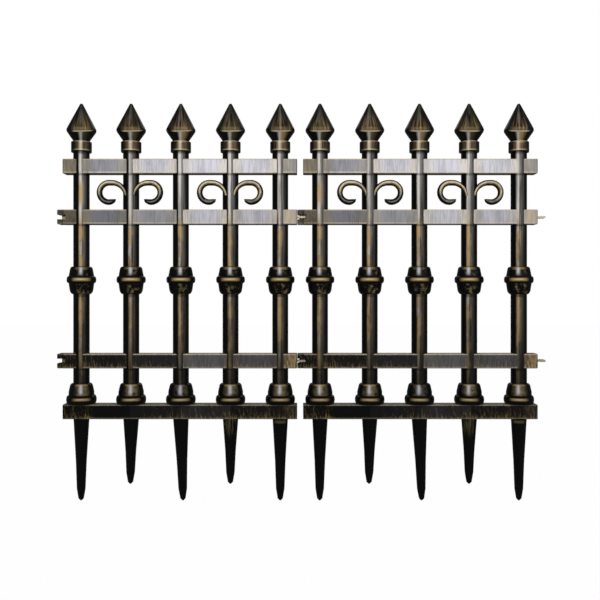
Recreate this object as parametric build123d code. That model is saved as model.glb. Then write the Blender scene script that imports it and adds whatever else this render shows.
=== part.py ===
from build123d import *
import math
import os

# Two stake-in fence panels with iron-look pickets, joined end to end, sizes in millimetres.
# +X runs along the fence, -Y is the front and +Z is up. The origin lies on the ground line, which is
# the underside of the bottom rails, midway between the first two pickets and in mid depth.

# panels and pickets
panel_names = ("left", "right")
pickets_per_panel = 5
picket_pitch = 75.0
end_overhang = 25.5
panel_gap = 9.0

# rails
rail_height = 22.0
rail_depth = 22.4
rail_edge_radius = 1.6
rail_end_bevel = 0.7
low_bay = 54.0
middle_bay = 194.0
high_bay = 54.0

# where a round post crosses a rail, the rail narrows to a web that runs through a slot in the post
post_diameter = 24.0
crossing_web = 8.0
crossing_clearance = 0.15

# fork at the left end of the second and third rails, tongue at their right end
prong_inset = 2.5
slot_height = 7.0
slot_length = 13.0
slot_open_length = 3.0
slot_back_web = 3.0
joint_clearance = 0.3
tongue_length = 12.7
tongue_thickness = 2.6
tongue_side_clearance = 1.5
tongue_bead_radius = 1.9
tongue_bead_spacing = 4.0
tongue_bead_count = 2

# post ends
post_peg_diameter = 12.0
post_peg_length = 5.0
post_cap_depth = 13.0
bore_clearance = 0.15

# finial: spear point, neck and collar
neck_above_rail = 10.5
collar_radius = 15.2
collar_height = 16.3
collar_bevel = 1.0
finial_neck_radius = 12.3
finial_neck_height = 1.6
lower_cone_height = 15.4
girdle_radius = 22.1
girdle_land = 0.8
upper_cone_height = 41.0
spear_tip_radius = 2.8

# knuckle at mid height of the middle bay
knuckle_above_middle = 14.0
knuckle_top_height = 19.8
knuckle_bottom_height = 22.8
knuckle_top_radius = 15.9
knuckle_shoulder_radius = 18.7
knuckle_bottom_radius = 16.3
knuckle_bevel = 1.2
knuckle_ring_radius = 21.7
knuckle_ring_height = 10.4

# bell foot on the bottom rail
bell_height = 31.3
bell_top_radius = 15.9
bell_waist_radius = 18.8
bell_waist_drop = 13.0
bell_top_bevel = 1.4
bell_foot_bevel = 0.8
bell_ring_radius = 22.3
bell_ring_height = 13.0

# scrolls between the top and second rails
scroll_pickets = (1, 3)
scroll_radius = 4.35
scroll_root_radius = 3.0
scroll_beak_radius = 1.4
scroll_tip_radius = 0.8
scroll_eye_radius = 14.5
scroll_eye_offset = 31.0
scroll_eye_drop = 1.4
scroll_eye_turn = 202.0
scroll_crown_length = 4.0
scroll_lead_radius = 20.9
scroll_lead_turn = 85.0
scroll_tip_length = 0.9
scroll_forward = 8.8
scroll_taper_share = 0.25
scroll_beak_lift = 0.6
scroll_lead_steps = 6
scroll_eye_steps = 14

# stakes
stake_root_diameter = 23.4
stake_middle_diameter = 16.0
stake_end_diameter = 12.6
long_stake_length = 124.0
short_stake_length = 99.0
stake_middle_depth = 64.0
stake_point_length = 21.0
stake_tip_radius = 3.2
stake_leans = (-0.5, -1.0, 3.3, -0.2, 0.0)
stake_spigot_diameter = 14.0
stake_spigot_length = 14.0
stake_root_band = 0.6
stake_root_step = 0.25
stake_seat_depth = 0.6
spigot_end_clearance = 1.0

# places worked out from the sizes above
bottom_rail_z = rail_height / 2
third_rail_z = bottom_rail_z + rail_height + low_bay
second_rail_z = third_rail_z + rail_height + middle_bay
top_rail_z = second_rail_z + rail_height + high_bay
crossed_rail_heights = (third_rail_z, second_rail_z, top_rail_z)
picket_span = (pickets_per_panel - 1) * picket_pitch
rail_length = picket_span + 2 * end_overhang
panel_repeat = rail_length + panel_gap
first_picket_x = -picket_pitch / 2
post_radius = post_diameter / 2
post_foot_z = rail_height
collar_foot_z = top_rail_z + rail_height / 2 + neck_above_rail
post_top_z = collar_foot_z + post_cap_depth
bore_radius = post_radius + bore_clearance
knuckle_z = (third_rail_z + second_rail_z) / 2 + knuckle_above_middle
scroll_eye_z = (top_rail_z + second_rail_z) / 2 - scroll_eye_drop
prong_reach = panel_gap - joint_clearance
slot_depth_y = rail_depth - 2 * prong_inset - slot_back_web
slot_front_y = -rail_depth / 2 + prong_inset
slot_middle_y = slot_front_y + slot_depth_y / 2


def picket_x(panel, picket):
    return first_picket_x + panel * panel_repeat + picket * picket_pitch


def block(x_low, x_high, y_low, y_high, z_low, z_high):
    """Box between two corners."""
    size = (x_high - x_low, y_high - y_low, z_high - z_low)
    middle = ((x_low + x_high) / 2, (y_low + y_high) / 2, (z_low + z_high) / 2)
    return Pos(*middle) * Box(*size)


def post_cylinder(radius, z_low, z_high):
    return Pos(0, 0, (z_low + z_high) / 2) * Cylinder(radius, z_high - z_low)


def banded(upper, lower, bead_radius):
    """Bored sleeve turned from two lists of radius and height, with a round bead between the lists."""
    upper_points = [(radius, 0, z) for radius, z in upper]
    lower_points = [(radius, 0, z) for radius, z in lower]
    bead_z = (upper[-1][1] + lower[0][1]) / 2
    bead = ThreePointArc(upper_points[-1], (bead_radius, 0, bead_z), lower_points[0])
    bore_low = (bore_radius, 0, lower[-1][1])
    bore_high = (bore_radius, 0, upper[0][1])
    bore = Polyline(lower_points[-1], bore_low, bore_high, upper_points[0])
    return revolve(make_face(Polyline(*upper_points) + bead + Polyline(*lower_points) + bore), Axis.Z)


def crossing_cut(rail_z):
    """What a rail loses at a post: the post's round, but for the web in mid depth."""
    cut_low = rail_z - rail_height
    cut_high = rail_z + rail_height
    round_cut = post_cylinder(post_radius + crossing_clearance, cut_low, cut_high)
    web = block(-post_diameter, post_diameter, -crossing_web / 2, crossing_web / 2, cut_low, cut_high)
    return round_cut - web


def rail_bar(x_start, rail_z):
    bar = block(
        x_start,
        x_start + rail_length,
        -rail_depth / 2,
        rail_depth / 2,
        rail_z - rail_height / 2,
        rail_z + rail_height / 2,
    )
    bar = fillet(bar.edges().filter_by(Axis.X), rail_edge_radius)
    end_faces = bar.faces().filter_by(Axis.X)
    return chamfer(end_faces.edges(), rail_end_bevel)


def fork(x_start, rail_z):
    """Two prongs that reach from the rail's left end to the neighbour's rail."""
    block_end = block(
        x_start - prong_reach,
        x_start + 2 * rail_edge_radius,
        -rail_depth / 2 + prong_inset,
        rail_depth / 2 - prong_inset,
        rail_z - rail_height / 2,
        rail_z + rail_height / 2,
    )
    corners = block_end.edges().filter_by(Axis.Y).group_by(Axis.X)[0]
    return fillet(corners, rail_edge_radius)


def fork_slot(x_start, rail_z):
    """Slot between the prongs: open through at its mouth, with a web at its back further in."""
    mouth = x_start - prong_reach
    pocket = block(
        mouth,
        mouth + slot_length,
        -rail_depth,
        slot_front_y + slot_depth_y,
        rail_z - slot_height / 2,
        rail_z + slot_height / 2,
    )
    through = block(
        mouth,
        mouth + slot_open_length,
        -rail_depth,
        rail_depth,
        rail_z - slot_height / 2,
        rail_z + slot_height / 2,
    )
    return pocket + through


def tongue(x_end, rail_z):
    """Thin plate with snap beads that enters the next rail's slot."""
    width = slot_depth_y - 2 * tongue_side_clearance
    plate = block(
        x_end - 2 * rail_edge_radius,
        x_end + tongue_length,
        slot_middle_y - width / 2,
        slot_middle_y + width / 2,
        rail_z - tongue_thickness / 2,
        rail_z + tongue_thickness / 2,
    )
    for bead in range(tongue_bead_count):
        bead_x = x_end + tongue_length - tongue_bead_radius - bead * tongue_bead_spacing
        plate += Pos(bead_x, slot_middle_y, rail_z) * Rot(90, 0, 0) * Cylinder(tongue_bead_radius, width)
    return plate


def rail(panel, rail_z, has_joints, is_crossed):
    x_start = picket_x(panel, 0) - end_overhang
    bar = rail_bar(x_start, rail_z)
    if has_joints:
        bar = bar + fork(x_start, rail_z) - fork_slot(x_start, rail_z)
        bar = bar + tongue(x_start + rail_length, rail_z)
    if is_crossed:
        for picket in range(pickets_per_panel):
            bar -= Pos(picket_x(panel, picket), 0, 0) * crossing_cut(rail_z)
    return bar


def bottom_rail(panel):
    """Bottom rail with a seat and socket for each stake below and a peg hole for each post above."""
    bar = rail(panel, bottom_rail_z, False, False)
    seat_radius = stake_root_diameter / 2 + bore_clearance
    socket_radius = stake_spigot_diameter / 2 + bore_clearance
    socket_top = stake_seat_depth + stake_spigot_length + spigot_end_clearance
    peg_radius = post_peg_diameter / 2 + bore_clearance
    cuts = (
        post_cylinder(seat_radius, -stake_seat_depth, stake_seat_depth)
        + post_cylinder(socket_radius, 0, socket_top)
        + post_cylinder(peg_radius, rail_height - post_peg_length, rail_height + post_peg_length)
    )
    for picket in range(pickets_per_panel):
        bar -= Pos(picket_x(panel, picket), 0, 0) * cuts
    return bar


def post():
    """Round post on its peg, with a slot where each upper rail's web runs through."""
    shaft = post_cylinder(post_radius, post_foot_z, post_top_z)
    peg_low = post_foot_z - post_peg_length + bore_clearance
    shaft += post_cylinder(post_peg_diameter / 2, peg_low, post_foot_z)
    half_slot_y = crossing_web / 2 + crossing_clearance
    half_slot_z = rail_height / 2 + crossing_clearance
    for rail_z in crossed_rail_heights:
        slot_low = rail_z - half_slot_z
        slot_high = rail_z + half_slot_z
        shaft -= block(-post_diameter, post_diameter, -half_slot_y, half_slot_y, slot_low, slot_high)
    return shaft


def finial():
    """Spear point and collar turned in one, capped over the post's top."""
    collar_top = collar_foot_z + collar_height
    cone_foot = collar_top + finial_neck_height
    girdle_z = cone_foot + lower_cone_height
    land_top = girdle_z + girdle_land / 2
    ball_z = girdle_z + upper_cone_height - spear_tip_radius
    # the upper cone runs from the girdle to where it is tangent to the ball at the tip
    ball_distance = math.hypot(girdle_radius, ball_z - land_top)
    cone_slope = math.atan2(ball_z - land_top, girdle_radius) + math.asin(spear_tip_radius / ball_distance)
    tip = [
        (spear_tip_radius * math.sin(turn), 0, ball_z + spear_tip_radius * math.cos(turn))
        for turn in (0, cone_slope / 2, cone_slope)
    ]
    outline = (
        tip[2],
        (girdle_radius, 0, land_top),
        (girdle_radius, 0, girdle_z - girdle_land / 2),
        (finial_neck_radius, 0, cone_foot),
        (finial_neck_radius, 0, collar_top),
        (collar_radius - collar_bevel, 0, collar_top),
        (collar_radius, 0, collar_top - collar_bevel),
        (collar_radius, 0, collar_foot_z + collar_bevel),
        (collar_radius - collar_bevel, 0, collar_foot_z),
        (bore_radius, 0, collar_foot_z),
        (bore_radius, 0, post_top_z),
        (0, 0, post_top_z),
        tip[0],
    )
    return revolve(make_face(ThreePointArc(*tip) + Polyline(*outline)), Axis.Z)


def knuckle():
    """Mid-height swelling with a bead round its widest place, bored for the post."""
    ring_half = knuckle_ring_height / 2
    top_z = knuckle_z + knuckle_top_height
    bottom_z = knuckle_z - knuckle_bottom_height
    upper = (
        (knuckle_top_radius - knuckle_bevel, top_z),
        (knuckle_top_radius, top_z - knuckle_bevel),
        (knuckle_shoulder_radius, knuckle_z + ring_half),
    )
    lower = (
        (knuckle_shoulder_radius, knuckle_z - ring_half),
        (knuckle_bottom_radius, bottom_z + knuckle_bevel),
        (knuckle_bottom_radius - knuckle_bevel, bottom_z),
    )
    return banded(upper, lower, knuckle_ring_radius)


def bell_foot():
    """Flared foot with a base ring, standing on the bottom rail round the post."""
    top_z = rail_height + bell_height
    upper = (
        (bell_top_radius - bell_top_bevel, top_z),
        (bell_top_radius, top_z - bell_top_bevel),
        (bell_waist_radius, top_z - bell_waist_drop),
        (bell_waist_radius, rail_height + bell_ring_height),
    )
    lower = (
        (bell_waist_radius, rail_height + bell_foot_bevel),
        (bell_waist_radius - bell_foot_bevel, rail_height),
    )
    return banded(upper, lower, bell_ring_radius)


def scroll(side):
    """One C-scroll, a round bar that leaves the post's front, turns over and curls in to a blunt tip."""
    eye = Vector(scroll_eye_offset, 0, scroll_eye_z)
    crown_x = scroll_eye_offset - scroll_crown_length
    lead_centre = Vector(crown_x, 0, scroll_eye_z + scroll_eye_radius - scroll_lead_radius)
    stations = []
    for step in range(scroll_lead_steps):
        share = step / scroll_lead_steps
        angle = math.radians(90 + scroll_lead_turn * (1 - share))
        spot = lead_centre + Vector(math.cos(angle), 0, math.sin(angle)) * scroll_lead_radius
        stations.append((spot, angle, scroll_root_radius + (scroll_radius - scroll_root_radius) * share))
    for step in range(scroll_eye_steps + 1):
        share = step / scroll_eye_steps
        angle = math.radians(90 - scroll_eye_turn * share)
        lost_radius = (scroll_radius - scroll_beak_radius) * max(0, 1 - (1 - share) / scroll_taper_share)
        # the beak thins from below, so its middle moves in towards the eye
        reach = scroll_eye_radius - scroll_beak_lift * lost_radius
        spot = eye + Vector(math.cos(angle), 0, math.sin(angle)) * reach
        stations.append((spot, angle, scroll_radius - lost_radius))
    last_spot, last_angle, _ = stations[-1]
    heading = Vector(math.sin(last_angle), 0, -math.cos(last_angle))
    stations.append((last_spot + heading * scroll_tip_length, last_angle, scroll_tip_radius))
    sections = []
    for spot, angle, radius in stations:
        middle = (spot.X * side, -scroll_forward, spot.Z)
        heading = (math.sin(angle) * side, 0, -math.cos(angle))
        sections.append(Plane(origin=middle, x_dir=(0, 1, 0), z_dir=heading) * Circle(radius))
    return loft(sections) - post_cylinder(bore_radius, second_rail_z, top_rail_z)


def stake(length, lean):
    """Round tapering stake with a blunt point, a little askew under its upright root and spigot."""
    straight_end = length - stake_point_length
    middle_share = stake_middle_depth / (long_stake_length - stake_point_length)
    ball_z = -length + stake_tip_radius
    halfway = stake_tip_radius * math.sqrt(0.5)
    outline = (
        (0, 0, -length),
        (0, 0, 0),
        (stake_root_diameter / 2 - stake_root_step, 0, 0),
        (stake_middle_diameter / 2, 0, -straight_end * middle_share),
        (stake_end_diameter / 2, 0, -straight_end),
        (stake_tip_radius, 0, ball_z),
    )
    tip = ThreePointArc(outline[-1], (halfway, 0, ball_z - halfway), outline[0])
    body = revolve(make_face(Polyline(*outline) + tip), Axis.Z)
    body = Rot(0, -math.degrees(math.atan2(lean, length)), 0) * body
    body += post_cylinder(stake_root_diameter / 2, -stake_root_band, stake_seat_depth)
    return body + post_cylinder(stake_spigot_diameter / 2, 0, stake_seat_depth + stake_spigot_length)


def stake_length(picket):
    return short_stake_length if picket % 2 else long_stake_length


def write(name, *solids):
    shape = Compound(label=name, children=list(solids)) if len(solids) > 1 else solids[0]
    export_step(shape, f"parts/{name}.step")


os.makedirs("parts", exist_ok=True)
one_post = post()
one_finial = finial()
one_knuckle = knuckle()
one_bell_foot = bell_foot()
scroll_pair = (scroll(-1), scroll(1))

for panel, name in enumerate(panel_names):
    write(f"{name}_top_rail", rail(panel, top_rail_z, False, True))
    write(f"{name}_second_rail", rail(panel, second_rail_z, True, True))
    write(f"{name}_third_rail", rail(panel, third_rail_z, True, True))
    write(f"{name}_bottom_rail", bottom_rail(panel))
    places = [Pos(picket_x(panel, picket), 0, 0) for picket in range(pickets_per_panel)]
    for picket, place in enumerate(places):
        write(f"{name}_post_{picket + 1}", place * one_post)
        write(f"{name}_finial_{picket + 1}", place * one_finial)
        write(f"{name}_stake_{picket + 1}", place * stake(stake_length(picket), stake_leans[picket]))
    write(f"{name}_knuckles", *[place * one_knuckle for place in places])
    write(f"{name}_bell_feet", *[place * one_bell_foot for place in places])
    write(f"{name}_scrolls", *[places[picket] * side for picket in scroll_pickets for side in scroll_pair])
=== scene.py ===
import math

import bmesh
import bpy
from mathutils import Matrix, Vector


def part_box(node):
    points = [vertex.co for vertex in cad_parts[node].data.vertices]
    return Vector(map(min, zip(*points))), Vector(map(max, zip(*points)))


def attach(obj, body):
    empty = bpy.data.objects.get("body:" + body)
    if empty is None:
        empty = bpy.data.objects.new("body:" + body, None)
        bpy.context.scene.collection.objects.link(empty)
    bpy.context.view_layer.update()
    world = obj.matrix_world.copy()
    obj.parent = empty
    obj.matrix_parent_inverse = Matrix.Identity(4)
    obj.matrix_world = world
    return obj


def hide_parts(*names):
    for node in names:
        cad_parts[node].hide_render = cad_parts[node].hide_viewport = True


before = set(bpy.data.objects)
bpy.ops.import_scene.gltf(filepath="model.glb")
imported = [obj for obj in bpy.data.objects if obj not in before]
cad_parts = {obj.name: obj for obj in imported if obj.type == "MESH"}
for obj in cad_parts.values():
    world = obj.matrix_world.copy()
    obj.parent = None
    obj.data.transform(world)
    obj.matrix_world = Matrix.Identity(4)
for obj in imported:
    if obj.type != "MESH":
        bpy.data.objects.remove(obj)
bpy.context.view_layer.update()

panelNames = ("left", "right")
picketNumbers = (1, 2, 3, 4, 5)
railNames = ("top", "second", "third", "bottom")


def middleOf(node):
    low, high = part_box(node)
    return [(low[i] + high[i]) / 2 for i in range(3)]


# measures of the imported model, in metres
firstPicketX = middleOf("left_post_1")[0]
picketPitch = middleOf("left_post_2")[0] - firstPicketX
panelRepeat = middleOf("right_post_1")[0] - firstPicketX
railHeights = {rail: middleOf("left_%s_rail" % rail)[2] for rail in railNames}
railLow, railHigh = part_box("left_top_rail")
railHalf = (railHigh[2] - railLow[2]) / 2
panelGap = panelRepeat - (railHigh[0] - railLow[0])
fenceMiddle = (firstPicketX + picketPitch * 4 + panelRepeat + firstPicketX) / 2
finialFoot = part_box("left_finial_1")[0][2]
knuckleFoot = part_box("left_knuckles")[0][2]
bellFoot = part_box("left_bell_feet")[0][2]
print("measured: pitch %.4f, panel repeat %.4f" % (picketPitch, panelRepeat))

# how much of the gap before a panel takes that panel's paint, and how far in front of the fence
# the spot is that the paint and the painted highlights of all fronts face, in millimetres
paintLook = {"gapShare": 0.98, "distance": 1240}


# a node's output socket, so that masks can be written as sums
class Flow:
    def __init__(self, graph, socket):
        self.graph = graph
        self.socket = socket

    def step(self, operation, first, second=None):
        sockets = {0: first} if second is None else {0: first, 1: second}
        return self.graph.add("ShaderNodeMath", {"operation": operation}, sockets)

    def __add__(self, other):
        return self.step("ADD", self, other)

    def __radd__(self, other):
        return self.step("ADD", other, self)

    def __sub__(self, other):
        return self.step("SUBTRACT", self, other)

    def __rsub__(self, other):
        return self.step("SUBTRACT", other, self)

    def __mul__(self, other):
        return self.step("MULTIPLY", self, other)

    def __rmul__(self, other):
        return self.step("MULTIPLY", other, self)

    def __truediv__(self, other):
        return self.step("DIVIDE", self, other)

    def __rtruediv__(self, other):
        return self.step("DIVIDE", other, self)

    def __abs__(self):
        return self.step("ABSOLUTE", self)


# one material and the nodes in it
class Finish:
    def __init__(self, name):
        self.material = bpy.data.materials.new(name)
        self.material.use_nodes = True
        self.tree = self.material.node_tree
        self.tree.nodes.clear()

    def add(self, kind, settings=None, sockets=None, output=0):
        node = self.tree.nodes.new(kind)
        for key, value in (settings or {}).items():
            if key == "stops":
                ramp = node.color_ramp.elements
                for extra in value[2:]:
                    ramp.new(0.5)
                for element, (place, shade) in zip(ramp, value):
                    element.position = place
                for element, (place, shade) in zip(ramp, value):
                    element.color = (shade, shade, shade, 1)
            else:
                setattr(node, key, value)
        for key, value in (sockets or {}).items():
            if isinstance(value, Flow):
                self.tree.links.new(value.socket, node.inputs[key])
            elif value is not None:
                node.inputs[key].default_value = value
        return Flow(self, node.outputs[output])

    def vector(self, x, y, z):
        return self.add("ShaderNodeCombineXYZ", None, {0: x, 1: y, 2: z})

    def split(self, flow):
        return [self.add("ShaderNodeSeparateXYZ", None, {0: flow}, i) for i in range(3)]

    def noise(self, place, detail=3.0, roughness=0.55):
        return self.add(
            "ShaderNodeTexNoise", {"noise_dimensions": "3D"},
            {"Vector": place, "Scale": 1.0, "Detail": detail, "Roughness": roughness})

    def chance(self, seed):
        return self.add("ShaderNodeTexWhiteNoise", {"noise_dimensions": "1D"}, {"W": seed})

    def smooth(self, value, low, high):
        return self.add(
            "ShaderNodeMapRange", {"interpolation_type": "SMOOTHSTEP", "clamp": True},
            {"Value": value, "From Min": low, "From Max": high})

    def fade(self, value, low, high):
        return 1 - self.smooth(value, low, high)

    def most(self, first, second):
        return self.add("ShaderNodeMath", {"operation": "MAXIMUM"}, {0: first, 1: second})

    def held(self, value):
        return self.add("ShaderNodeMath", {"operation": "ADD", "use_clamp": True}, {0: value, 1: 0.0})

    def wrapped(self, value, low, high):
        return self.add("ShaderNodeMath", {"operation": "WRAP"}, {0: value, 1: high, 2: low})

    def tint(self, share, first, second):
        return self.add(
            "ShaderNodeMix", {"data_type": "RGBA", "clamp_factor": True},
            {0: share, 6: first, 7: second}, 2)

    # where a point is, in millimetres, along its own panel and round its own picket
    def places(self):
        spot = self.add("ShaderNodeTexCoord", None, None, 3)
        normal = self.add("ShaderNodeTexCoord", None, None, 1)
        x, y, z = [part * 1000 for part in self.split(spot)]
        seam = (railLow[0] - panelGap * paintLook["gapShare"]) * 1000
        self.panelX = self.wrapped(x, seam, seam + panelRepeat * 1000)
        first = (firstPicketX - picketPitch / 2) * 1000
        pitch = picketPitch * 1000
        self.picketX = self.wrapped(self.panelX, first, first + pitch) - (first + pitch / 2)
        self.picket = self.add(
            "ShaderNodeMath", {"operation": "FLOOR"}, {0: (self.panelX - first) / pitch})
        self.y = y
        self.z = z
        self.normalX, self.normalY, self.normalZ = self.split(normal)
        flat = self.add("ShaderNodeVectorMath", {"operation": "NORMALIZE"},
                        {0: self.vector(self.normalX, self.normalY, 0.0)})
        side, facing, _ = self.split(flat)
        self.facing = abs(facing)
        # the paint and the painted highlights of each picket face the middle of the fence
        self.side = side - self.facing * ((fenceMiddle * 1000 - x) / paintLook["distance"])

    # a share of the front (and back), wide to each side of the middle; middle moves it sideways
    def window(self, half, soft, middle=0.0):
        return self.fade(abs(self.side - middle), half - soft, half + soft)

    # a band, used for brushed paint and for painted highlights, that starts sharply at its left and thins out
    # to the right
    def band(self, start, end, across=None, edge=0.12, core=0.25):
        across = self.side if across is None else across
        return self.smooth(across, start - edge, start + edge) * self.fade(across, start + core, end)

    # 1 on one picket, counted from 0 at the left of its panel, and 0 on the others
    def only(self, number):
        return self.fade(abs(self.picket - number), 0.2, 0.4)

    # a stretch between two heights
    def zone(self, low, high, soft=0.5, level=None):
        level = self.z if level is None else level
        return self.smooth(level, low - soft, low + soft) * self.fade(level, high - soft, high + soft)

    def close(self, colour, roughness, metallic, bump=None, strength=0.0, distance=0.0002):
        sockets = {"Base Color": colour, "Roughness": roughness, "Metallic": metallic,
                   "Specular IOR Level": 0.25}
        if bump is not None:
            sockets["Normal"] = self.add(
                "ShaderNodeBump", None, {"Strength": strength, "Distance": distance, "Height": bump})
        shader = self.add("ShaderNodeBsdfPrincipled", None, sockets)
        self.end(shader)
        return self.material

    def end(self, shader):
        end = self.tree.nodes.new("ShaderNodeOutputMaterial")
        self.tree.links.new(shader.socket, end.inputs[0])


black = (0.0026, 0.0026, 0.0024, 1)
# pale and silver also serve as the colours of painted highlights and painted reflections
palette = {
    "olive": (0.15, 0.125, 0.055, 1),
    "tan": (0.57, 0.385, 0.17, 1),
    "gold": (0.62, 0.42, 0.14, 1),
    "cream": (0.89, 0.77, 0.545, 1),
    "silver": (0.81, 0.79, 0.865, 1),
    "pale": (0.78, 0.75, 0.72, 1),
    "umber": (0.135, 0.095, 0.055, 1),
}


# black plastic with each layer, (mask, colour), over it, brushed paint and painted highlights alike;
# gloss is the plastic's roughness, sheen the paint's, and metal is how metallic the paint is
def layered(f, layers, bump=None, strength=0.25, gloss=0.30, sheen=0.42, metal=0.3):
    colour = black
    cover = None
    for mask, shade in layers:
        colour = f.tint(mask, colour, shade)
        cover = mask if cover is None else f.most(cover, mask)
    cover = f.held(cover)
    return f.close(colour, gloss + (sheen - gloss) * cover, cover * metal, bump, strength)


# posts: the band down their front, brushed paint with a painted highlight in its core and a painted
# reflection in its tail, with tan and pale stretches; foot is how much of it there is at the ground, and middle
# and top are what comes to it over their stretches of height, so the band's painted light dims towards the
# ground
postLook = {
    "start": -0.30, "coreEnd": 0.12, "tailEnd": 0.86, "sway": 0.14,
    "core": 0.95, "tail": 0.22, "streakAcross": 0.55, "streakAlong": 0.018, "patchAlong": 0.022,
    "spread": 0.52, "spreadEnd": 0.52, "foot": 0.06, "middle": 0.52, "middleRise": (50.0, 180.0),
    # the last three keys below set the painted shadow just below the rails, the knuckle and the collar
    "top": 0.55, "topRise": (150.0, 390.0), "corner": 3.0, "cornerSoft": 1.6, "shadowStrength": 0.75,
}


def postFinish(look):
    f = Finish("brushed_posts_with_painted_highlight")
    f.places()
    along = f.z * look["streakAlong"]
    streak = f.noise(f.vector(f.panelX * look["streakAcross"], f.y * look["streakAcross"], along), 4.0)
    drift = f.noise(f.vector(f.picket * 7.3, 0.0, f.z * look["patchAlong"]), 2.0)
    patch = f.noise(f.vector(f.picket * 5.1 + f.panelX * 0.05, 4.0, f.z * 0.03), 3.0)
    across = f.side + (drift - 0.5) * look["sway"]
    # painted light: the band is painted dimmer towards the ground
    height = (look["foot"] + look["middle"] * f.smooth(f.z, *look["middleRise"])
              + look["top"] * f.smooth(f.z, *look["topRise"]))
    # painted shadow: less paint, so darker, just below the rails, the knuckle and the collar
    corners = [railHeights[rail] * 1000 - railHalf * 1000 for rail in ("top", "second", "third")]
    corners += [finialFoot * 1000, knuckleFoot * 1000]
    paintedShadow = f.zone(corners[0] - look["corner"], corners[0], look["cornerSoft"])
    for edge in corners[1:]:
        paintedShadow = f.most(paintedShadow, f.zone(edge - look["corner"], edge, look["cornerSoft"]))
    height = height * (1 - look["shadowStrength"] * paintedShadow)
    # painted highlight in the core and painted reflection in the tail, over brushed paint
    core = f.band(look["start"], look["coreEnd"], across) * look["core"]
    tail = f.band(look["start"], look["tailEnd"], across) * look["tail"]
    wear = f.smooth(streak, 0.30, 0.62)
    low = f.fade(f.z, 200.0, 345.0)
    # between the upper rails only the first picket is golden
    below = f.fade(f.z, 284.0, 316.0)
    first = f.only(0) * f.zone(322.0, 356.0, 9.0)
    gold = f.held(f.smooth(patch + streak * 0.2, 0.48, 0.64) + low * 0.35)
    gold = f.most(gold * (0.15 + 0.85 * below), first * 0.9)
    tone = f.tint(gold, palette["pale"], palette["tan"])
    dull = f.tint(low * 0.6, palette["pale"], palette["tan"])
    # wide tan stretches where the brush lay heavier
    heavy = f.most(f.smooth(patch + streak * 0.15, 0.54, 0.68) * below, first)
    spread = f.band(look["start"], look["spreadEnd"], across) * heavy * look["spread"] * height
    tailCover = tail * height * (0.25 + 1.2 * wear)
    coreCover = core * height * (0.45 + 0.75 * wear) * (0.85 + 0.3 * heavy)
    return layered(f, [(tailCover, dull), (spread, palette["tan"]), (coreCover, tone)], streak)


# rails: one tone for each bay from the left end to the right end, brushed silver together with a painted
# reflection of the light above, brightest on the top rail; the pale upper and lower edges, worn paint with a
# painted highlight; the gold at the ends, the scratches and the warm stretches beside the posts; quiet takes
# scratches away in the first bay, or adds some where it is negative
railLook = {
    "top": {
        "bays": (0.25, 0.46, 0.89, 1.16, 1.04, 0.50), "upper": 0.80, "lower": 0.90, "goldLeft": 0.24,
        "goldRight": 0.0, "scratch": 0.0, "warm": 0.5, "tongue": 0.0, "quiet": 0.0},
    "second": {
        "bays": (0.09, 0.26, 0.44, 0.82, 0.69, 0.68), "upper": 0.66, "lower": 0.45, "goldLeft": 0.22,
        "goldRight": 0.8, "scratch": 0.08, "warm": 0.55, "tongue": 0.8, "quiet": 0.0},
    "third": {
        "bays": (0.0, 0.006, 0.020, 0.135, 0.09, 0.06), "upper": 0.66, "lower": 0.24, "goldLeft": 0.03,
        "goldRight": 1.0, "scratch": 0.30, "warm": 0.5, "tongue": 0.5, "quiet": -0.02},
    "bottom": {
        "bays": (0.0, 0.0, 0.008, 0.025, 0.005, 0.008), "upper": 0.32, "lower": 0.14, "goldLeft": 0.0,
        "goldRight": 0.12, "scratch": 0.30, "warm": 0.5, "tongue": 0.0, "quiet": 0.07},
}
# where the paint of all rails changes along the panel, in millimetres; tongueRise is in half
# heights of a rail, and the two bay values are shares of the panel's length
railStretch = {
    "leftEnd": (-50.0, -14.0), "rightEnd": (264.0, 276.0),
    "leftTip": (-62.4, -61.0), "rightTip": (286.0, 287.4),
    "tongue": (-59.4, -58.8), "tongueRise": (0.19, 0.25), "nearPost": (6.0, 26.0),
    "quietStart": (-26.0, -14.0), "quietEnd": (30.0, 80.0),
    "firstScratches": (-26.0, 6.0), "lateScratches": (70.0, 230.0),
    "bayStart": 0.06, "bayBlend": 0.004,
}


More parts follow.
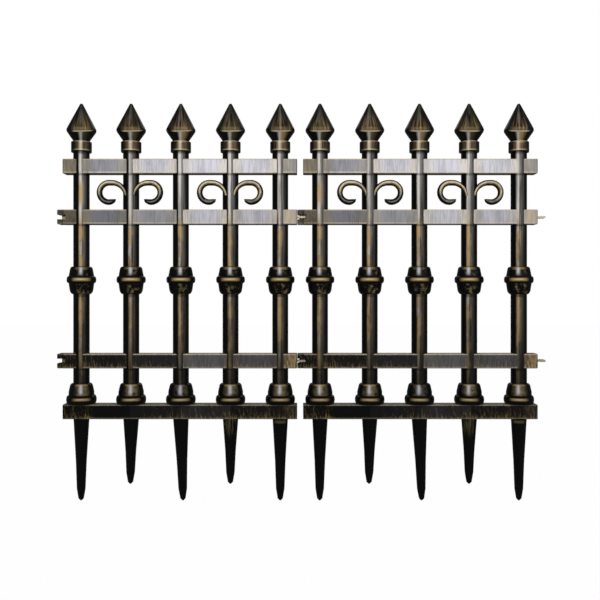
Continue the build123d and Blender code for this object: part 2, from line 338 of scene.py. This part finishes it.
def railFinish(rail, look):
    f = Finish("brushed_%s_rail" % rail)
    f.places()
    stretch = railStretch
    middle = railHeights[rail] * 1000
    half = railHalf * 1000
    rise = (f.z - middle) / half
    lines = f.noise(f.vector(f.panelX * 0.85, f.y * 0.4, f.z * 0.05), 5.0, 0.65)
    broad = f.noise(f.vector(f.panelX * 0.09, f.y * 0.05, f.z * 0.02 + 9.0), 2.0)
    share = f.panelX - (firstPicketX - picketPitch / 2) * 1000
    share = share / (picketPitch * len(picketNumbers) * 1000)
    tones = look["bays"]
    peak = max(tones)
    tones = [value / peak for value in tones]
    stops = [(stretch["bayStart"], tones[0])]
    for number in picketNumbers:
        post = (number - 0.5) / len(picketNumbers)
        stops += [(post - stretch["bayBlend"], tones[number - 1]), (post + stretch["bayBlend"], tones[number])]
    tone = f.add("ShaderNodeValToRGB", {"stops": stops}, {0: share})
    tone = f.add("ShaderNodeRGBToBW", None, {0: tone})
    front = f.smooth(abs(f.normalY), 0.35, 0.8)
    endLeft = f.fade(f.panelX, *stretch["leftEnd"])
    endRight = f.smooth(f.panelX, *stretch["rightEnd"])
    ends = f.most(endLeft, endRight)
    gold = endLeft * look["goldLeft"] + endRight * look["goldRight"]
    # painted shade on the rounded ends and on the unpainted fork prongs, and a painted highlight on the tongue
    tips = f.most(f.fade(f.panelX, *stretch["leftTip"]), f.smooth(f.panelX, *stretch["rightTip"]))
    tongue = f.fade(f.panelX, *stretch["tongue"]) * f.fade(abs(rise), *stretch["tongueRise"])
    # brushed silver with a painted reflection of the light above, as bright as the tone of its bay
    field = (front * (1 - 0.62 * tips) * tone * peak
             * (0.62 + 0.42 * f.smooth(lines * 0.6 + broad * 0.4, 0.36, 0.64)))
    nearPost = f.fade(abs(f.picketX), *stretch["nearPost"]) * look["warm"]
    warmth = f.held(endLeft + endRight * 0.3 + nearPost * (0.4 + broad))
    silver = f.tint(warmth, palette["silver"], palette["cream"])
    # painted highlight along the upper and lower edges over worn paint; faces that look down keep it off and
    # stay dark
    upper = f.smooth(rise, 0.80, 0.92) * look["upper"]
    lower = f.smooth(rise * -1, 0.72, 0.84) * front * look["lower"]
    rim = f.most(upper, lower) * f.smooth(lines + broad * 0.5, 0.45, 0.80) * (1 - 0.6 * tips)
    under = f.smooth(f.normalZ * -1, 0.3, 0.8)
    grain = f.noise(f.vector(f.panelX * 0.80 + f.z * 0.05, f.y * 0.4, f.z * 0.085), 6.0, 0.78)
    quiet = f.smooth(f.panelX, *stretch["quietStart"]) * f.fade(f.panelX, *stretch["quietEnd"]) * look["quiet"]
    # more scratches low on the rail and towards both ends
    scratches = (grain + f.fade(rise, -0.9, 0.1) * 0.07
                 + f.fade(f.panelX, *stretch["firstScratches"]) * 0.03
                 + f.smooth(f.panelX, *stretch["lateScratches"]) * 0.025 - quiet)
    scratches = front * f.smooth(scratches, 0.58, 0.68) * look["scratch"]
    endGold = front * gold * f.smooth(grain, 0.40, 0.60) * (1 - 0.4 * tips)
    return layered(
        f,
        [(field, silver), (scratches, palette["gold"]), (endGold * 0.7, palette["tan"]),
         (rim * (1 - under) * (1 - 0.5 * ends), palette["cream"]),
         (tongue * look["tongue"], palette["cream"])],
        lines, 0.2)


# turned parts: measures in millimetres, and how much each painted layer covers
finialLook = {
    "collarRadius": 15.2, "collarHeight": 16.3, "collarEdge": 1.6,
    "neckRadius": 12.3, "neckHeight": 1.6, "neckEdge": 0.4,
    "lowerCone": 15.4, "girdleRadius": 22.85, "girdleEdge": 6.0,
    "upperCone": 41.0, "tipRadius": 2.8, "tipSteps": 8, "coneSteps": 10, "sag": 5.3,
    "cover": {
        "cone": 0.70, "shine": 0.14, "brown": 0.22, "line": 0.75, "glow": 0.5, "collar": 0.42,
        "rims": 0.45, "gleam": 0.7, "middle": 0.85},
}


def finialFinish():
    f = Finish("brushed_and_highlit_finials")
    f.places()
    foot = finialFoot * 1000
    collarTop = foot + finialLook["collarHeight"]
    coneFoot = collarTop + finialLook["neckHeight"]
    girdle = coneFoot + finialLook["lowerCone"]
    luck = f.chance(f.picket + 11.0)
    # the painted line sags below the edge at the front and the back
    level = f.z + f.facing * finialLook["sag"]
    green = f.most(f.only(0), f.only(3))
    streak = f.noise(f.vector(f.side * 7.5 + f.picket * 3.7, f.facing * 7.5, f.z * 0.028), 5.0, 0.68)
    above = f.smooth(level, girdle + 1.2, girdle + 2.4)
    low = f.fade(f.z, girdle - 2.0, girdle + 34.0)
    coat = f.window(0.66, 0.24, 0.04) * above * (0.30 + 0.70 * low)
    cone = coat * f.smooth(streak + low * 0.08, 0.38, 0.66)
    dull = f.tint(green, palette["umber"], palette["olive"])
    coneTone = f.tint(f.smooth(streak, 0.48, 0.68) * (0.3 + 0.7 * low), dull, palette["tan"])
    # painted highlight: a pale streak down the front of the upper cone
    shine = f.band(-0.30, 0.35) * above * f.smooth(streak, 0.40, 0.60)
    shine = shine * f.smooth(f.z, girdle + 2.0, girdle + 20.0)
    brown = above * f.fade(level, girdle + 4.0, girdle + 9.0) * f.window(0.5, 0.2)
    line = f.zone(girdle + 0.2, girdle + 1.7, 0.35, level) * f.window(0.66, 0.18, 0.05)
    cut = f.zone(coneFoot + 0.2, girdle - 0.2, 0.5, level)
    # painted highlight down the front of the lower cone
    gleam = cut * f.window(0.09, 0.17, -0.07)
    # gold paint with a painted sheen beside that highlight
    glow = cut * f.band(-0.10, 0.75) * (0.2 + luck)
    collar = f.zone(foot + 1.6, collarTop - 0.2, 0.5) * f.window(0.52, 0.44, 0.06)
    rims = f.most(f.zone(collarTop - 1.4, collarTop + 0.3, 0.4), f.zone(foot + 2.2, foot + 3.8, 0.5))
    rims = rims * f.window(0.66, 0.30, 0.02)
    # painted highlight down the middle of the collar
    middle = f.zone(foot + 1.6, collarTop - 0.2, 0.6) * f.window(0.10, 0.20, -0.08)
    glowTone = f.tint(green, palette["tan"], palette["olive"])
    cover = finialLook["cover"]
    return layered(f, [
        (cone * cover["cone"], coneTone), (shine * cover["shine"], palette["pale"]),
        (brown * cover["brown"], palette["tan"]), (line * cover["line"], palette["cream"]),
        (glow * cover["glow"], glowTone),
        (collar * f.smooth(streak, 0.3, 0.7) * cover["collar"], palette["tan"]),
        (rims * cover["rims"], palette["cream"]), (gleam * cover["gleam"], palette["pale"]),
        (middle * cover["middle"], palette["cream"])], streak)


knuckleLook = {
    "above": 19.8, "below": 22.8, "topRadius": 15.9, "shoulder": 18.7, "bottomRadius": 16.3,
    "topEdge": 4.5, "bottomEdge": 9.0, "ringRadius": 21.7, "ringHeight": 10.4,
    "cover": {"olive": 0.8, "flecks": 0.8, "rim": 0.5, "bead": 0.62, "beadCore": 0.5, "gleam": 0.95},
}
bellLook = {
    "height": 31.3, "topRadius": 15.9, "waist": 18.8, "waistDrop": 13.0, "waistEdge": 4.0,
    "edge": 5.0, "ringRadius": 22.3, "ringHeight": 13.0,
    "cover": {"wash": 0.85, "rim": 0.45, "bead": 0.42, "beadCore": 0.3, "gleam": 0.62},
}


def knuckleFinish():
    f = Finish("brushed_and_highlit_knuckles")
    f.places()
    low = knuckleFoot * 1000
    centre = low + knuckleLook["below"]
    top = centre + knuckleLook["above"]
    ring = knuckleLook["ringHeight"] / 2
    luck = f.chance(f.picket + 21.0)
    fleck = f.noise(f.vector(f.panelX * 0.17, f.y * 0.17, f.z * 0.15), 5.0, 0.62)
    bead = f.zone(centre - ring * 0.38, centre + ring * 0.48, 1.2) * f.window(0.58, 0.18)
    # the bead's cream core: paint with a painted highlight
    beadCore = f.zone(centre - ring * 0.10, centre + ring * 0.25, 0.8) * f.window(0.34, 0.28, -0.04)
    rim = f.zone(top - 4.6, top - 0.8, 0.9) * f.window(0.50, 0.26) * f.smooth(luck + fleck * 0.5, 0.3, 0.8)
    upper = f.zone(centre + ring + 0.8, top - 1.0, 0.8)
    # painted highlight down the front of the knuckle's upper part
    gleam = upper * f.window(0.10, 0.17, -0.06) * f.smooth(f.z, centre + ring - 1.0, top - 7.0)
    olive = f.zone(low + 1.5, centre - ring - 1.0, 1.2) * f.window(0.50, 0.2, 0.16)
    olive = olive * f.smooth(fleck, 0.48, 0.64)
    flecks = upper * f.window(0.5, 0.2, 0.2) * f.smooth(fleck, 0.52, 0.68)
    oliveTone = f.tint(luck * 0.35, palette["olive"], palette["tan"])
    cover = knuckleLook["cover"]
    return layered(f, [
        (olive * cover["olive"], oliveTone), (flecks * cover["flecks"], palette["olive"]),
        (rim * cover["rim"], palette["gold"]), (bead * cover["bead"], palette["gold"]),
        (beadCore * cover["beadCore"], palette["cream"]), (gleam * cover["gleam"], palette["silver"])], fleck)


def bellFinish():
    f = Finish("brushed_and_highlit_bell_feet")
    f.places()
    foot = bellFoot * 1000
    top = foot + bellLook["height"]
    ring = bellLook["ringHeight"]
    luck = f.chance(f.picket + 31.0)
    fleck = f.noise(f.vector(f.panelX * 0.16, f.y * 0.16, f.z * 0.14), 5.0, 0.62)
    bead = f.zone(foot + ring * 0.50, foot + ring * 0.78, 1.1) * f.window(0.55, 0.18)
    # the bead's cream core: paint with a painted highlight
    beadCore = f.zone(foot + ring * 0.60, foot + ring * 0.72, 0.8) * f.window(0.33, 0.24, -0.04)
    rim = f.zone(top - 3.2, top - 0.6, 0.7) * f.window(0.52, 0.2) * f.smooth(luck + fleck * 0.5, 0.3, 0.8)
    upper = f.zone(foot + ring + 0.8, top - 1.2, 0.8)
    # painted highlight down the front of the bell's upper part
    gleam = upper * f.window(0.10, 0.18, -0.05) * f.smooth(f.z, foot + ring, foot + ring + 5.0)
    wash = upper * f.window(0.46, 0.3, 0.04) * f.smooth(fleck + luck * 0.2, 0.42, 0.72)
    washTone = f.tint(luck * 0.3, palette["olive"], palette["tan"])
    cover = bellLook["cover"]
    return layered(f, [
        (wash * cover["wash"], washTone), (rim * cover["rim"], palette["gold"]),
        (bead * cover["bead"], palette["gold"]), (beadCore * cover["beadCore"], palette["cream"]),
        (gleam * cover["gleam"], palette["silver"])], fleck)


# scrolls and stakes: measures in millimetres, turns in degrees
scrollLook = {
    "tube": 4.35, "root": 3.0, "tip": 1.8, "eye": 14.5, "offset": 31.0, "drop": 1.4,
    "eyeTurn": 176.0, "crown": 4.0, "leadRadius": 20.9, "leadTurn": 85.0,
    "beakLength": 10.8, "beakLift": 0.4, "beakCurve": 2.3, "blunt": 0.9, "bluntLeast": 0.04,
    "forward": 8.8, "leadSteps": 18, "eyeSteps": 44, "beakSteps": 22, "round": 28,
    "laterPair": (149.0, 151.0), "laterReach": 9.0, "reachHalf": 8.0,
    "cover": {"front": 0.42, "crest": 0.95, "thin": 0.22},
}
scrollPickets = (2, 4)
scrollMiddle = (railHeights["top"] + railHeights["second"]) * 500 - scrollLook["drop"]


def scrollFinish():
    f = Finish("brushed_scrolls")
    f.places()
    streak = f.noise(f.vector(f.panelX * 0.16, f.y * 0.5, f.z * 0.16), 4.0)
    # the paint reaches further down on the fourth picket's pair
    reach = f.z + f.smooth(f.panelX, *scrollLook["laterPair"]) * scrollLook["laterReach"]
    high = f.smooth(reach, scrollMiddle - scrollLook["reachHalf"], scrollMiddle + scrollLook["reachHalf"])
    # gold paint on the front; crest is a painted highlight along the upper front, lighter on the tops, and thin
    # a painted glint low on the tube
    front = f.smooth(f.normalY * -1, 0.78, 0.95)
    crest = f.smooth(f.normalY * -1 + f.normalZ * 0.25, 0.93, 1.02)
    thin = f.smooth(f.normalY * -1, 0.94, 0.995) * (1 - high)
    worn = 0.45 + 0.55 * f.smooth(streak, 0.3, 0.6)
    cover = scrollLook["cover"]
    return layered(f, [
        (front * high * worn * cover["front"], palette["gold"]),
        (crest * high * worn * cover["crest"], palette["cream"]),
        (thin * worn * cover["thin"], palette["pale"])], streak)


stakeLook = {
    "root": 23.4, "middle": 16.0, "end": 12.9, "middleDepth": 64.0, "point": 18.0, "tip": 4.0,
    "sunk": 0.6, "longLength": 124.0, "shortLength": 99.0, "leans": (-0.5, -1.0, 3.3, -0.2, 0.0),
    "cover": {"over": 0.5, "ring": 0.14},
}


def stakeFinish():
    f = Finish("black_stakes")
    f.places()
    streak = f.noise(f.vector(f.panelX * 0.4, f.y * 0.4, f.z * 0.03), 4.0)
    # paint that ran over onto the fourth stake, and a ring of it on the fifth
    over = f.smooth(f.z, -34.0, -4.0) * f.only(3) * f.window(0.7, 0.2) * f.smooth(streak, 0.42, 0.6)
    ring = f.zone(-6.0, -2.0, 1.0) * f.only(4) * f.window(0.7, 0.2)
    cover = stakeLook["cover"]
    return layered(f, [(over * cover["over"], palette["olive"]), (ring * cover["ring"], palette["tan"])],
                   streak, 0.1, 0.24)


# meshes
# outline points are (radius, height, rounding) in millimetres; reachShare is how much of a side
# one rounding may take
def rounded(outline, steps=6, reachShare=0.49):
    points = []
    for i, (r, z, rounding) in enumerate(outline):
        if rounding <= 0 or i in (0, len(outline) - 1):
            points.append((r, z))
            continue
        here = Vector((r, z))
        back = Vector(outline[i - 1][:2]) - here
        ahead = Vector(outline[i + 1][:2]) - here
        opening = back.angle(ahead)
        reach = min(rounding / math.tan(opening / 2), back.length * reachShare, ahead.length * reachShare)
        start = here + back.normalized() * reach
        end = here + ahead.normalized() * reach
        for k in range(steps + 1):
            t = k / steps
            spot = start * (1 - t) ** 2 + here * 2 * t * (1 - t) + end * t ** 2
            points.append((spot.x, spot.y))
    return points


# rings round a picket's axis; a point on the axis closes the form, and shift leans it sideways
def turnedMesh(mesh, points, middleX, segments=96, shift=None):
    rings = []
    for r, z in points:
        move = shift(z) if shift else 0.0
        if r < 1e-6:
            rings.append([mesh.verts.new(((middleX + move) / 1000, 0, z / 1000))])
            continue
        ring = []
        for k in range(segments):
            turn = 2 * math.pi * k / segments
            ring.append(mesh.verts.new((
                (middleX + move + r * math.cos(turn)) / 1000, r * math.sin(turn) / 1000, z / 1000)))
        rings.append(ring)
    for above, below in zip(rings, rings[1:]):
        for k in range(segments):
            n = (k + 1) % segments
            if len(above) == 1:
                mesh.faces.new((above[0], below[k], below[n]))
            elif len(below) == 1:
                mesh.faces.new((above[k], below[0], above[n]))
            else:
                mesh.faces.new((above[k], below[k], below[n], above[n]))


# the piece takes the place of its nodes, smooth but for edges sharper than this angle in degrees
def finished(name, mesh, material, nodes, sharp=38.0):
    bmesh.ops.recalc_face_normals(mesh, faces=mesh.faces)
    data = bpy.data.meshes.new(name)
    mesh.to_mesh(data)
    mesh.free()
    piece = bpy.data.objects.new(name, data)
    bpy.context.scene.collection.objects.link(piece)
    data.materials.append(material)
    data.shade_smooth()
    data.set_sharp_from_angle(angle=math.radians(sharp))
    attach(piece, "root")
    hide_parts(*nodes)


def picketX(panel, number):
    return (firstPicketX + panel * panelRepeat + (number - 1) * picketPitch) * 1000


# the rounded ring round a turned piece, from its upper edge to its lower one
def beadPoints(wall, radius, centre, half, steps=16, fullness=0.8):
    points = []
    for k in range(1, steps):
        turn = math.pi * k / steps
        bulge = (radius - wall) * math.sin(turn) ** fullness
        points.append((wall + bulge, centre + half * math.cos(turn)))
    return points


def finialPoints():
    s = finialLook
    foot = finialFoot * 1000
    collarTop = foot + s["collarHeight"]
    coneFoot = collarTop + s["neckHeight"]
    girdle = coneFoot + s["lowerCone"]
    ball = girdle + s["upperCone"] - s["tipRadius"]
    far = math.hypot(s["girdleRadius"], ball - girdle)
    slope = math.atan2(ball - girdle, s["girdleRadius"]) + math.asin(s["tipRadius"] / far)
    tip = []
    for k in range(s["tipSteps"] + 1):
        turn = slope * k / s["tipSteps"]
        tip.append((s["tipRadius"] * math.sin(turn), ball + s["tipRadius"] * math.cos(turn)))
    outline = [
        (tip[-1][0], tip[-1][1], 0),
        (s["girdleRadius"], girdle, s["girdleEdge"]),
        (s["neckRadius"], coneFoot, s["neckEdge"]),
        (s["neckRadius"], collarTop, s["neckEdge"]),
        (s["collarRadius"], collarTop, s["collarEdge"]),
        (s["collarRadius"], foot, s["collarEdge"]),
        (0, foot, 0),
    ]
    body = rounded(outline)
    first, last, steps = tip[-1], body[1], s["coneSteps"]
    cone = [(first[0] + (last[0] - first[0]) * k / steps, first[1] + (last[1] - first[1]) * k / steps)
            for k in range(1, steps)]
    return tip + cone + body[1:]


def knucklePoints():
    s = knuckleLook
    low = knuckleFoot * 1000
    centre = low + s["below"]
    top = centre + s["above"]
    ring = s["ringHeight"] / 2
    upper = rounded([(0, top, 0), (s["topRadius"], top, s["topEdge"]), (s["shoulder"], centre + ring, 0)])
    lower = rounded([(s["shoulder"], centre - ring, 0), (s["bottomRadius"], low, s["bottomEdge"]), (0, low, 0)])
    return upper + beadPoints(s["shoulder"], s["ringRadius"], centre, ring) + lower


def bellPoints():
    s = bellLook
    foot = bellFoot * 1000
    top = foot + s["height"]
    ring = s["ringHeight"] / 2
    upper = rounded([
        (0, top, 0), (s["topRadius"], top, s["edge"]), (s["waist"], top - s["waistDrop"], s["waistEdge"]),
        (s["waist"], foot + s["ringHeight"], 0)])
    return upper + beadPoints(s["waist"], s["ringRadius"], foot + ring, ring) + [(s["waist"], foot), (0, foot)]


def stakePoints(length):
    s = stakeLook
    straight = length - s["point"]
    share = s["middleDepth"] / (s["longLength"] - s["point"])
    outline = [
        (0, s["sunk"], 0), (s["root"] / 2, s["sunk"], 0.2), (s["middle"] / 2, -straight * share, 20.0),
        (s["end"] / 2, -straight, 12.0), (s["tip"], -length + s["tip"] * 0.8, 1.4),
        (0.9, -length, 0.6), (0, -length, 0)]
    return rounded(outline, 8)


# (x, height, direction of travel, tube radius) from the post out to the tip, in millimetres
def scrollPath():
    s = scrollLook
    crownX = s["offset"] - s["crown"]
    leadZ = scrollMiddle + s["eye"] - s["leadRadius"]
    path = []
    for k in range(s["leadSteps"]):
        t = k / s["leadSteps"]
        turn = math.radians(90 + s["leadTurn"] * (1 - t))
        radius = s["root"] + (s["tube"] - s["root"]) * t
        path.append((crownX + s["leadRadius"] * math.cos(turn), leadZ + s["leadRadius"] * math.sin(turn),
                     turn, radius))
    for k in range(s["eyeSteps"] + 1):
        t = k / s["eyeSteps"]
        turn = math.radians(90 - s["eyeTurn"] * t)
        path.append((s["offset"] + s["eye"] * math.cos(turn), scrollMiddle + s["eye"] * math.sin(turn),
                     turn, s["tube"]))
    # the beak: its inner edge stays level while its outer edge rises to a blunt end
    x, z, turn, radius = path[-1]
    inner = z + radius
    for k in range(1, s["beakSteps"] + 1):
        t = math.sin(math.pi / 2 * k / s["beakSteps"])
        thin = s["tip"] + (radius - s["tip"]) * (1 - t ** s["beakCurve"])
        if t > s["blunt"]:
            thin *= math.sqrt(max(s["bluntLeast"], 1 - ((t - s["blunt"]) / (1 - s["blunt"])) ** 2))
        path.append((x - s["beakLength"] * t, inner + s["beakLift"] * t - thin, math.radians(-90), thin))
    return path


# a round bar along a path, on the left (-1) or right (1) side of a picket
def tubeMesh(mesh, middleX, side, path):
    s = scrollLook
    rings = []
    for x, z, turn, radius in path:
        outward = Vector((math.cos(turn) * side, 0, math.sin(turn)))
        centre = Vector((middleX + x * side, -s["forward"], z))
        ring = []
        for k in range(s["round"]):
            a = 2 * math.pi * k / s["round"]
            spot = centre + outward * (radius * math.cos(a)) + Vector((0, radius * math.sin(a), 0))
            ring.append(mesh.verts.new(spot / 1000))
        rings.append(ring)
    for first, second in zip(rings, rings[1:]):
        for k in range(s["round"]):
            n = (k + 1) % s["round"]
            mesh.faces.new((first[k], first[n], second[n], second[k]))
    mesh.faces.new(rings[0])
    mesh.faces.new(rings[-1])


finishes = {
    "post": postFinish(postLook), "finial": finialFinish(), "knuckle": knuckleFinish(), "bell": bellFinish(),
    "scroll": scrollFinish(), "stake": stakeFinish(),
}
for rail in railNames:
    finishes[rail] = railFinish(rail, railLook[rail])
print("finishes made: %d" % len(finishes))

for panel, panelName in enumerate(panelNames):
    for rail in railNames:
        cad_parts["%s_%s_rail" % (panelName, rail)].material_slots[0].material = finishes[rail]
    for number in picketNumbers:
        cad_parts["%s_post_%d" % (panelName, number)].material_slots[0].material = finishes["post"]
        mesh = bmesh.new()
        turnedMesh(mesh, finialPoints(), picketX(panel, number))
        finished("%s_spear_%d" % (panelName, number), mesh, finishes["finial"],
                 ["%s_finial_%d" % (panelName, number)])
        length = stakeLook["longLength"] if number % 2 else stakeLook["shortLength"]
        lean = stakeLook["leans"][number - 1]
        mesh = bmesh.new()
        turnedMesh(mesh, stakePoints(length), picketX(panel, number), 64,
                   lambda z: lean * max(0, -z) / length)
        finished("%s_spike_%d" % (panelName, number), mesh, finishes["stake"],
                 ["%s_stake_%d" % (panelName, number)])
    for kind, points, node in (("knuckle", knucklePoints(), "knuckles"), ("bell", bellPoints(), "bell_feet")):
        mesh = bmesh.new()
        for number in picketNumbers:
            turnedMesh(mesh, points, picketX(panel, number))
        finished("%s_%s_row" % (panelName, kind), mesh, finishes[kind],
                 ["%s_%s" % (panelName, node)])
    mesh = bmesh.new()
    for number in scrollPickets:
        for side in (-1, 1):
            tubeMesh(mesh, picketX(panel, number), side, scrollPath())
    finished("%s_scroll_work" % panelName, mesh, finishes["scroll"],
             ["%s_scrolls" % panelName])
    print("dressed the %s panel" % panelName)


# floor, light and camera
stageLook = {
    "floorAt": (0.29, 1.5, -0.1243), "floorSize": 8.0, "floorShade": 0.85, "floorWhite": 0.98,
    "floorInGloss": 0.10, "worldShade": 0.55, "worldInGloss": 0.10,
}


def addStage():
    s = stageLook
    bpy.ops.mesh.primitive_plane_add(size=s["floorSize"], location=s["floorAt"])
    floor = bpy.context.object
    floor.name = "studio_floor"
    f = Finish("studio_floor")
    camera = f.add("ShaderNodeLightPath", None, None, 0)
    glossy = f.add("ShaderNodeLightPath", None, None, 3)
    lit = f.add("ShaderNodeBsdfDiffuse", None, {"Color": (s["floorShade"],) * 3 + (1,)})
    white = f.add("ShaderNodeEmission", None, {"Color": (1, 1, 1, 1), "Strength": 1.0})
    dim = f.add("ShaderNodeEmission", None, {"Color": (1, 1, 1, 1), "Strength": s["floorInGloss"]})
    shader = f.add("ShaderNodeMixShader", None, {0: camera * s["floorWhite"], 1: lit, 2: white})
    shader = f.add("ShaderNodeMixShader", None, {0: glossy, 1: shader, 2: dim})
    f.end(shader)
    floor.data.materials.append(f.material)
    world = bpy.data.worlds.new("studio")
    bpy.context.scene.world = world
    world.use_nodes = True
    nodes = world.node_tree.nodes
    links = world.node_tree.links
    nodes.clear()
    path = nodes.new("ShaderNodeLightPath")
    shades = []
    for strength in (s["worldShade"], s["worldInGloss"], 1.0):
        back = nodes.new("ShaderNodeBackground")
        back.inputs["Color"].default_value = (1, 1, 1, 1)
        back.inputs["Strength"].default_value = strength
        shades.append(back)
    first = nodes.new("ShaderNodeMixShader")
    second = nodes.new("ShaderNodeMixShader")
    end = nodes.new("ShaderNodeOutputWorld")
    links.new(path.outputs["Is Glossy Ray"], first.inputs[0])
    links.new(shades[0].outputs[0], first.inputs[1])
    links.new(shades[1].outputs[0], first.inputs[2])
    links.new(path.outputs["Is Camera Ray"], second.inputs[0])
    links.new(first.outputs[0], second.inputs[1])
    links.new(shades[2].outputs[0], second.inputs[2])
    links.new(second.outputs[0], end.inputs[0])


lampLook = {
    "front": {"at": (0.29, -2.1, 0.78), "aim": (0.29, 0, 0.30), "size": (2.6, 0.34), "power": 12.0},
    "right": {"at": (2.1, -1.3, 0.5), "aim": (0.29, 0, 0.2), "size": (0.9, 1.3), "power": 2.0},
    "back": {"at": (0.29, 1.9, 1.5), "aim": (0.29, 0, 0.2), "size": (2.6, 0.8), "power": 5.0},
}


def addLamps():
    for name, look in lampLook.items():
        data = bpy.data.lights.new(name + "_softbox", "AREA")
        data.shape = "RECTANGLE"
        data.size, data.size_y = look["size"]
        data.energy = look["power"]
        lamp = bpy.data.objects.new(name + "_softbox", data)
        lamp.location = look["at"]
        way = Vector(look["aim"]) - Vector(look["at"])
        lamp.rotation_euler = way.to_track_quat("-Z", "Y").to_euler()
        lamp.visible_camera = False
        bpy.context.scene.collection.objects.link(lamp)


cameraLook = {"at": (0.2923, -1.2, 0.198), "lens": 47.7, "sensor": 36.0, "shiftY": -0.0217}


def addCamera():
    data = bpy.data.cameras.new("photo_view")
    data.lens = cameraLook["lens"]
    data.sensor_width = cameraLook["sensor"]
    data.shift_y = cameraLook["shiftY"]
    camera = bpy.data.objects.new("photo_view", data)
    camera.location = cameraLook["at"]
    camera.rotation_euler = (math.radians(90), 0, 0)
    bpy.context.scene.collection.objects.link(camera)
    bpy.context.scene.camera = camera


addStage()
addLamps()
addCamera()
bpy.context.scene.view_settings.view_transform = "Standard"
print("stage, lamps and camera set")
